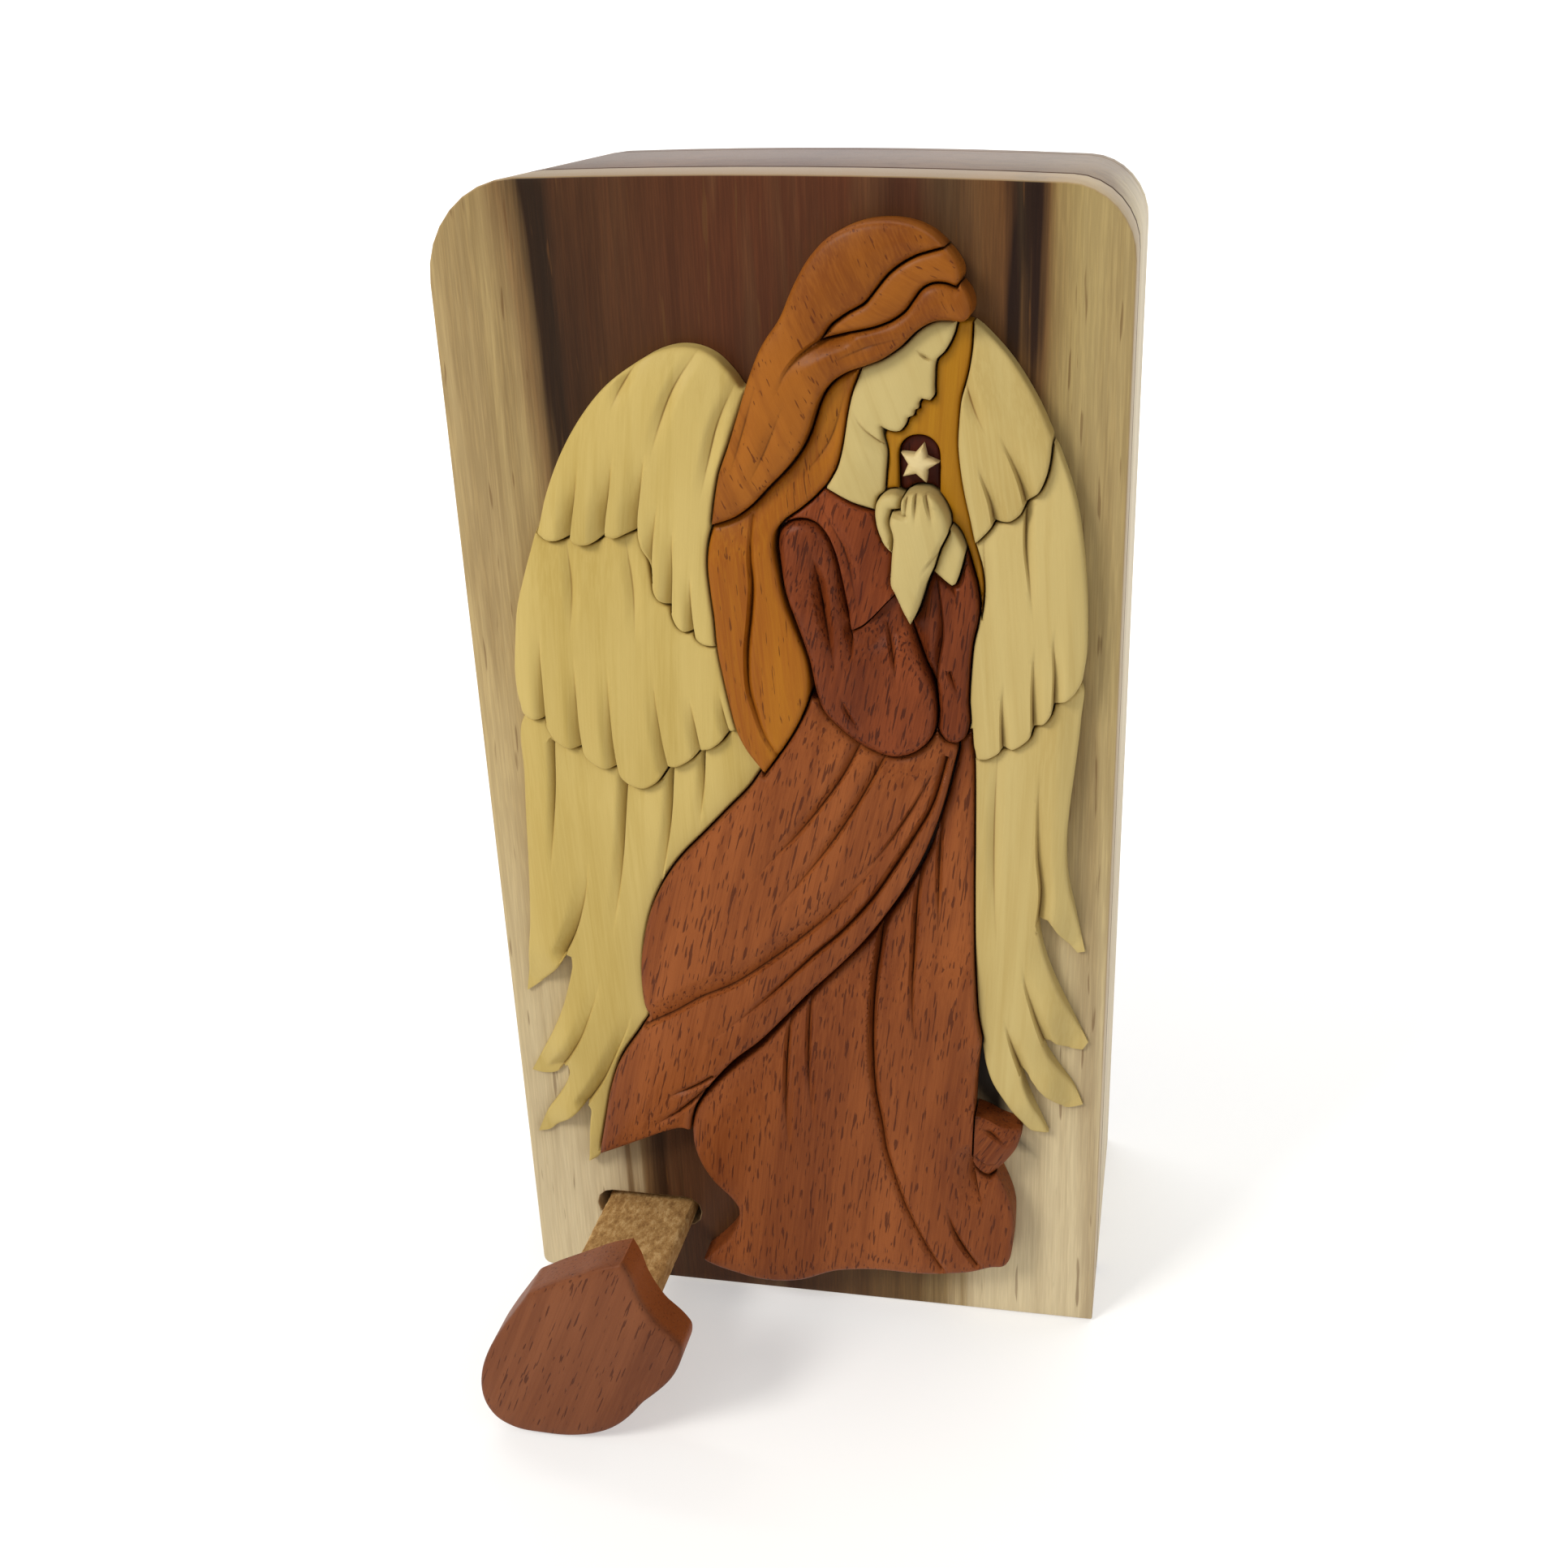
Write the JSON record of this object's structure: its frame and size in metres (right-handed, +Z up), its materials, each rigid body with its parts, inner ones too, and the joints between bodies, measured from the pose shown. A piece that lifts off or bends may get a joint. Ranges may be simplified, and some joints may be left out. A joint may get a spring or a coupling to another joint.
{
  "type": "puzzle box",
  "caption": "Upright wooden puzzle box with a carved relief of a praying angel on its lid; a dress piece slides out as the key, then the lid turns on a corner peg.",
  "frame": {"origin": "centre of the case's base face, on the surface that the box stands on", "axes": "+Z up along the box's height; -Y is the front, where the relief is; +X is to the right seen from the front"},
  "size_m": [0.105, 0.0967, 0.2],
  "materials": {
    "case_wood": "sanded and satin lacquered light hardwood",
    "panel_wood": "satin lacquered board, dark heartwood between pale sapwood sides",
    "cream_wood": "satin lacquered cream wood, very fine straight grain",
    "pale_wood": "satin lacquered pale wood, almost no grain",
    "hair_wood": "satin lacquered orange-brown wood with small dark pores",
    "gold_wood": "satin lacquered golden-brown wood with small dark pores",
    "amber_wood": "satin lacquered amber-yellow wood",
    "dress_wood": "satin lacquered red-brown wood with short dark pore dashes",
    "sleeve_wood": "satin lacquered dark red-brown wood with short dark pore dashes",
    "dark_wood": "satin lacquered dark red wood",
    "raw_wood": "bare sawn wood, unlacquered and slightly rough",
    "felt": "thin dark red felt lining"
  },
  "bodies": {
    "case": {"case_body": "case_wood", "back_panel": "case_wood", "lining_floor": "felt", "lining_wall": "felt"},
    "lid": {"lid_panel": "panel_wood", "pivot_peg": "raw_wood", "pivot_cap": "raw_wood", "hand_near": "pale_wood", "hand_far_fingers": "pale_wood", "hand_far_wrist": "pale_wood", "star": "pale_wood", "sleeve_near": "sleeve_wood", "sleeve_far": "sleeve_wood", "hair_wave": "hair_wood", "hair_main": "hair_wood", "hair_back": "gold_wood", "face_neck": "pale_wood", "bodice": "sleeve_wood", "hair_far": "amber_wood", "star_bed": "dark_wood", "skirt_upper": "dress_wood", "skirt_lower": "dress_wood", "hem_fold": "dress_wood", "wing_left_upper": "cream_wood", "wing_left_middle": "cream_wood", "wing_left_lower": "cream_wood", "wing_right_upper": "cream_wood", "wing_right_middle": "cream_wood", "wing_right_lower": "cream_wood"},
    "key": {"key_head": "dress_wood", "key_tongue": "raw_wood"}
  },
  "joints": [
    {"name": "lid_turn", "type": "hinge", "parent": "case", "child": "lid", "pos_m": [0.04, 0, 0.185], "axis": [0, 1, 0], "range_deg": [0, 100]},
    {"name": "key_slide", "type": "slide", "parent": "lid", "child": "key", "axis": [0, -1, 0], "range_m": [-0.034, 0.02]}
  ]
}
